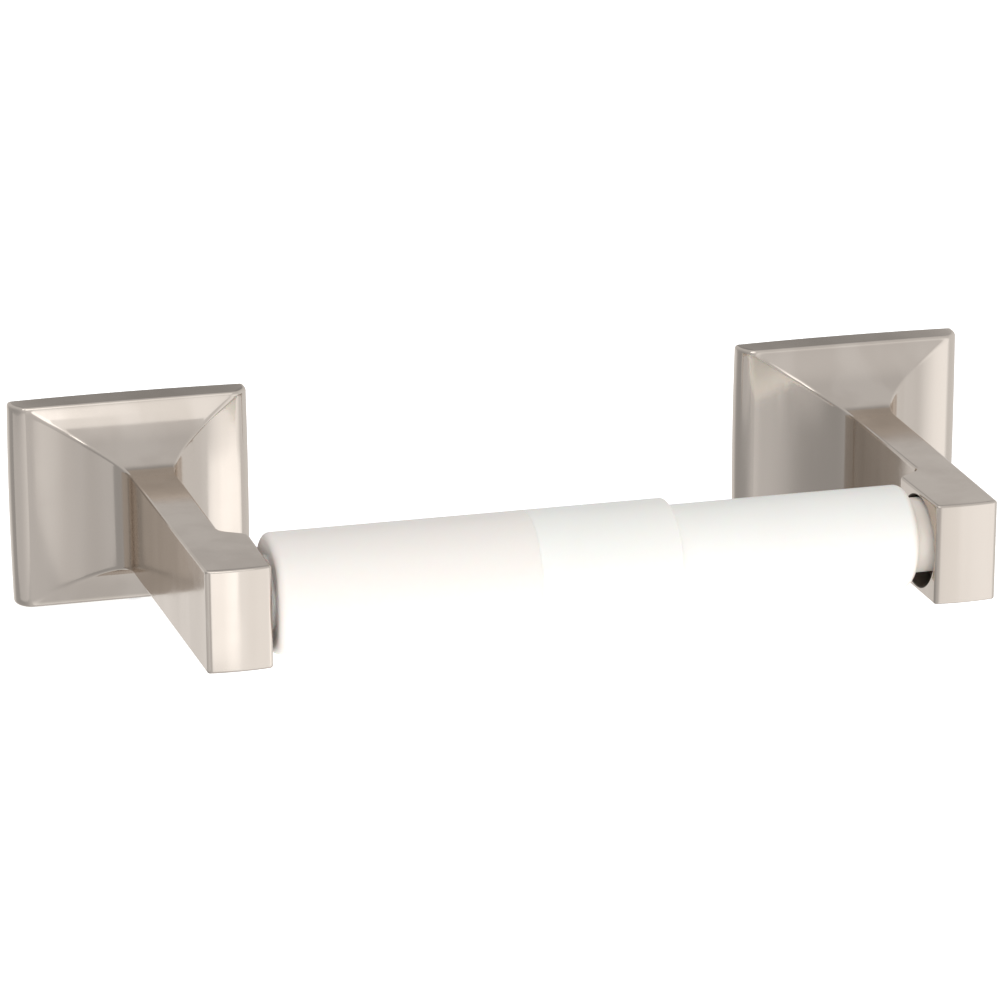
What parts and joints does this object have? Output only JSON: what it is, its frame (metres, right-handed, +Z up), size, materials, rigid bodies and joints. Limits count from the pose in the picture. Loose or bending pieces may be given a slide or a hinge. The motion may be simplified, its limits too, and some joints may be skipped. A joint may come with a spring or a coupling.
{
  "type": "toilet paper holder",
  "caption": "Two-post wall-mounted toilet paper holder with flared rectangular flanges and a sprung telescoping roller.",
  "frame": {"origin": "on the wall plane, midway between the two posts and level with the middle of their flanges, which is the centre of the four wall screws", "axes": "+Y into the wall, +Z up, +X along the roller from its larger tube to its smaller tube"},
  "size_m": [0.2096, 0.1117, 0.0444],
  "materials": {
    "satin_nickel": "satin nickel plate on a zinc casting",
    "zinc_plated_steel": "bright zinc on stamped steel",
    "dark_steel": "black oxide",
    "screw_zinc": "bright zinc",
    "white_plastic": "smooth moulded white plastic",
    "spring_steel": "drawn wire"
  },
  "bodies": {
    "wall_fixture": {"left_post": "satin_nickel", "right_post": "satin_nickel", "left_wall_bracket": "zinc_plated_steel", "right_wall_bracket": "zinc_plated_steel", "left_set_screw": "dark_steel", "right_set_screw": "dark_steel", "left_upper_wall_screw": "screw_zinc", "left_lower_wall_screw": "screw_zinc", "right_upper_wall_screw": "screw_zinc", "right_lower_wall_screw": "screw_zinc"},
    "roller": {"roller_outer_tube": "white_plastic", "roller_spring": "spring_steel"},
    "roller_end": {"roller_inner_tube": "white_plastic"}
  },
  "joints": [
    {"name": "roller_spin", "type": "hinge", "parent": "wall_fixture", "child": "roller", "pos_m": [0, -0.0759, 0.0013], "axis": [1, 0, 0], "continuous": true},
    {"name": "roller_compress", "type": "slide", "parent": "roller", "child": "roller_end", "axis": [-1, 0, 0], "range_m": [0, 0.012], "stiffness_N_per_m": 220, "springref_m": -0.03, "deforming": ["roller_spring"]}
  ]
}
